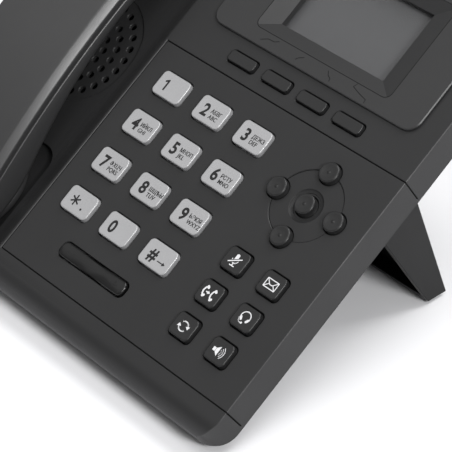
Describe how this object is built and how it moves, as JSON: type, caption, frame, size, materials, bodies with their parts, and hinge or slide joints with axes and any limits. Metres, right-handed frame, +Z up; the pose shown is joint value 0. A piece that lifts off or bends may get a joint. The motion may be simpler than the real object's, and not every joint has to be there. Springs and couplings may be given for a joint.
{
  "type": "desk ip phone",
  "caption": "Desk IP phone with handset in its cradle, keypad, function keys, navigation cluster, small screen and folding rear stand.",
  "frame": {"origin": "on the table under the middle of the whole phone's box", "axes": "+Z up, +Y towards the back of the desk, +X to the user's right; the user sits at -Y"},
  "size_m": [0.18, 0.1785, 0.1298],
  "materials": {
    "housing": "fine textured black",
    "nav_disc": "fine textured black",
    "bezel": "satin dark grey",
    "lens": "clear window",
    "screen": "grey unlit liquid crystal",
    "frame_white": "white backlight frame",
    "rear": "black",
    "board": "green solder mask",
    "silicone": "grey silicone",
    "speaker": "black paper and steel",
    "switch": "switch body",
    "jack_metal": "tinned shield",
    "jack_plastic": "black jack",
    "lamp": "smoked red light pipe",
    "steel": "zinc plated",
    "rubber": "soft grey rubber",
    "stand": "textured black",
    "handset": "fine textured black with satin edge",
    "number_key": "silver painted",
    "function_key": "black with white symbol",
    "dark_key": "black satin",
    "gloss_key": "gloss black"
  },
  "bodies": {
    "base": {"front_shell": "housing", "keypad_plate": "housing", "nav_disc": "nav_disc", "display_bezel": "bezel", "display_lens": "lens", "lcd_panel": "screen", "lcd_frame": "frame_white", "rear_cover": "rear", "main_board": "board", "keypad_board": "board", "keypad_mat": "silicone", "loudspeaker": "speaker", "hook_switch": "switch", "network_jacks": "jack_metal", "handset_jacks": "jack_plastic", "power_jack": "jack_plastic", "message_lamp": "lamp", "hang_tab": "rear", "base_microphone": "jack_metal", "housing_screws": "steel", "front_feet": "rubber"},
    "handset": {"handset_upper_shell": "handset", "handset_lower_shell": "handset", "receiver_capsule": "speaker", "microphone_capsule": "jack_metal", "handset_weight": "steel", "handset_socket": "jack_plastic"},
    "stand": {"stand_bracket": "stand", "stand_hinge_pins": "steel", "stand_feet": "rubber"},
    "hook": {"hook_plunger": "rear"},
    "key_1_cap": {"key_1": "number_key"},
    "key_2_cap": {"key_2": "number_key"},
    "key_3_cap": {"key_3": "number_key"},
    "key_4_cap": {"key_4": "number_key"},
    "key_5_cap": {"key_5": "number_key"},
    "key_6_cap": {"key_6": "number_key"},
    "key_7_cap": {"key_7": "number_key"},
    "key_8_cap": {"key_8": "number_key"},
    "key_9_cap": {"key_9": "number_key"},
    "key_star_cap": {"key_star": "number_key"},
    "key_0_cap": {"key_0": "number_key"},
    "key_hash_cap": {"key_hash": "number_key"},
    "mute_key_cap": {"mute_key": "function_key"},
    "message_key_cap": {"message_key": "function_key"},
    "transfer_key_cap": {"transfer_key": "function_key"},
    "headset_key_cap": {"headset_key": "function_key"},
    "redial_key_cap": {"redial_key": "function_key"},
    "speaker_key_cap": {"speaker_key": "function_key"},
    "soft_key_1_cap": {"soft_key_1": "dark_key"},
    "soft_key_2_cap": {"soft_key_2": "dark_key"},
    "soft_key_3_cap": {"soft_key_3": "dark_key"},
    "soft_key_4_cap": {"soft_key_4": "dark_key"},
    "nav_up_cap": {"nav_up": "dark_key"},
    "nav_down_cap": {"nav_down": "dark_key"},
    "nav_left_cap": {"nav_left": "dark_key"},
    "nav_right_cap": {"nav_right": "dark_key"},
    "nav_ok_cap": {"nav_ok": "dark_key"},
    "volume_rocker_cap": {"volume_rocker": "gloss_key"}
  },
  "joints": [
    {"name": "handset_lift", "type": "slide", "parent": "base", "child": "handset", "axis": [0, -0.5664, 0.8241], "range_m": [0, 0.06]},
    {"name": "hook_press", "type": "slide", "parent": "base", "child": "hook", "axis": [0, -0.5664, 0.8241], "range_m": [0, 0.003]},
    {"name": "stand_fold", "type": "hinge", "parent": "base", "child": "stand", "pos_m": [0, 0.0025, 0.04601], "axis": [1, 0, 0], "range_deg": [-70, 0]},
    {"name": "key_1_press", "type": "slide", "parent": "base", "child": "key_1_cap", "axis": [0, 0.5664, -0.8241], "range_m": [0, 0.0012], "stiffness_N_per_m": 500, "springref_m": -0.0003},
    {"name": "key_2_press", "type": "slide", "parent": "base", "child": "key_2_cap", "axis": [0, 0.5664, -0.8241], "range_m": [0, 0.0012], "stiffness_N_per_m": 500, "springref_m": -0.0003},
    {"name": "key_3_press", "type": "slide", "parent": "base", "child": "key_3_cap", "axis": [0, 0.5664, -0.8241], "range_m": [0, 0.0012], "stiffness_N_per_m": 500, "springref_m": -0.0003},
    {"name": "key_4_press", "type": "slide", "parent": "base", "child": "key_4_cap", "axis": [0, 0.5664, -0.8241], "range_m": [0, 0.0012], "stiffness_N_per_m": 500, "springref_m": -0.0003},
    {"name": "key_5_press", "type": "slide", "parent": "base", "child": "key_5_cap", "axis": [0, 0.5664, -0.8241], "range_m": [0, 0.0012], "stiffness_N_per_m": 500, "springref_m": -0.0003},
    {"name": "key_6_press", "type": "slide", "parent": "base", "child": "key_6_cap", "axis": [0, 0.5664, -0.8241], "range_m": [0, 0.0012], "stiffness_N_per_m": 500, "springref_m": -0.0003},
    {"name": "key_7_press", "type": "slide", "parent": "base", "child": "key_7_cap", "axis": [0, 0.5664, -0.8241], "range_m": [0, 0.0012], "stiffness_N_per_m": 500, "springref_m": -0.0003},
    {"name": "key_8_press", "type": "slide", "parent": "base", "child": "key_8_cap", "axis": [0, 0.5664, -0.8241], "range_m": [0, 0.0012], "stiffness_N_per_m": 500, "springref_m": -0.0003},
    {"name": "key_9_press", "type": "slide", "parent": "base", "child": "key_9_cap", "axis": [0, 0.5664, -0.8241], "range_m": [0, 0.0012], "stiffness_N_per_m": 500, "springref_m": -0.0003},
    {"name": "key_star_press", "type": "slide", "parent": "base", "child": "key_star_cap", "axis": [0, 0.5664, -0.8241], "range_m": [0, 0.0012], "stiffness_N_per_m": 500, "springref_m": -0.0003},
    {"name": "key_0_press", "type": "slide", "parent": "base", "child": "key_0_cap", "axis": [0, 0.5664, -0.8241], "range_m": [0, 0.0012], "stiffness_N_per_m": 500, "springref_m": -0.0003},
    {"name": "key_hash_press", "type": "slide", "parent": "base", "child": "key_hash_cap", "axis": [0, 0.5664, -0.8241], "range_m": [0, 0.0012], "stiffness_N_per_m": 500, "springref_m": -0.0003},
    {"name": "mute_key_press", "type": "slide", "parent": "base", "child": "mute_key_cap", "axis": [0, 0.5664, -0.8241], "range_m": [0, 0.0012], "stiffness_N_per_m": 500, "springref_m": -0.0003},
    {"name": "message_key_press", "type": "slide", "parent": "base", "child": "message_key_cap", "axis": [0, 0.5664, -0.8241], "range_m": [0, 0.0012], "stiffness_N_per_m": 500, "springref_m": -0.0003},
    {"name": "transfer_key_press", "type": "slide", "parent": "base", "child": "transfer_key_cap", "axis": [0, 0.5664, -0.8241], "range_m": [0, 0.0012], "stiffness_N_per_m": 500, "springref_m": -0.0003},
    {"name": "headset_key_press", "type": "slide", "parent": "base", "child": "headset_key_cap", "axis": [0, 0.5664, -0.8241], "range_m": [0, 0.0012], "stiffness_N_per_m": 500, "springref_m": -0.0003},
    {"name": "redial_key_press", "type": "slide", "parent": "base", "child": "redial_key_cap", "axis": [0, 0.5664, -0.8241], "range_m": [0, 0.0012], "stiffness_N_per_m": 500, "springref_m": -0.0003},
    {"name": "speaker_key_press", "type": "slide", "parent": "base", "child": "speaker_key_cap", "axis": [0, 0.5664, -0.8241], "range_m": [0, 0.0012], "stiffness_N_per_m": 500, "springref_m": -0.0003},
    {"name": "soft_key_1_press", "type": "slide", "parent": "base", "child": "soft_key_1_cap", "axis": [0, 0.5664, -0.8241], "range_m": [0, 0.0012], "stiffness_N_per_m": 500, "springref_m": -0.0003},
    {"name": "soft_key_2_press", "type": "slide", "parent": "base", "child": "soft_key_2_cap", "axis": [0, 0.5664, -0.8241], "range_m": [0, 0.0012], "stiffness_N_per_m": 500, "springref_m": -0.0003},
    {"name": "soft_key_3_press", "type": "slide", "parent": "base", "child": "soft_key_3_cap", "axis": [0, 0.5664, -0.8241], "range_m": [0, 0.0012], "stiffness_N_per_m": 500, "springref_m": -0.0003},
    {"name": "soft_key_4_press", "type": "slide", "parent": "base", "child": "soft_key_4_cap", "axis": [0, 0.5664, -0.8241], "range_m": [0, 0.0012], "stiffness_N_per_m": 500, "springref_m": -0.0003},
    {"name": "nav_up_press", "type": "slide", "parent": "base", "child": "nav_up_cap", "axis": [0, 0.5664, -0.8241], "range_m": [0, 0.0012], "stiffness_N_per_m": 500, "springref_m": -0.0003},
    {"name": "nav_down_press", "type": "slide", "parent": "base", "child": "nav_down_cap", "axis": [0, 0.5664, -0.8241], "range_m": [0, 0.0012], "stiffness_N_per_m": 500, "springref_m": -0.0003},
    {"name": "nav_left_press", "type": "slide", "parent": "base", "child": "nav_left_cap", "axis": [0, 0.5664, -0.8241], "range_m": [0, 0.0012], "stiffness_N_per_m": 500, "springref_m": -0.0003},
    {"name": "nav_right_press", "type": "slide", "parent": "base", "child": "nav_right_cap", "axis": [0, 0.5664, -0.8241], "range_m": [0, 0.0012], "stiffness_N_per_m": 500, "springref_m": -0.0003},
    {"name": "nav_ok_press", "type": "slide", "parent": "base", "child": "nav_ok_cap", "axis": [0, 0.5664, -0.8241], "range_m": [0, 0.0012], "stiffness_N_per_m": 500, "springref_m": -0.0003},
    {"name": "volume_rock", "type": "hinge", "parent": "base", "child": "volume_rocker_cap", "pos_m": [0.016, -0.06861, 0.02262], "axis": [0, 0.8241, 0.5664], "range_deg": [-2.5, 2.5], "stiffness_Nm_per_rad": 0.5}
  ],
  "couplings": [
    {"joint": "hook_press", "follows": "handset_lift", "ratio": 0.05}
  ]
}
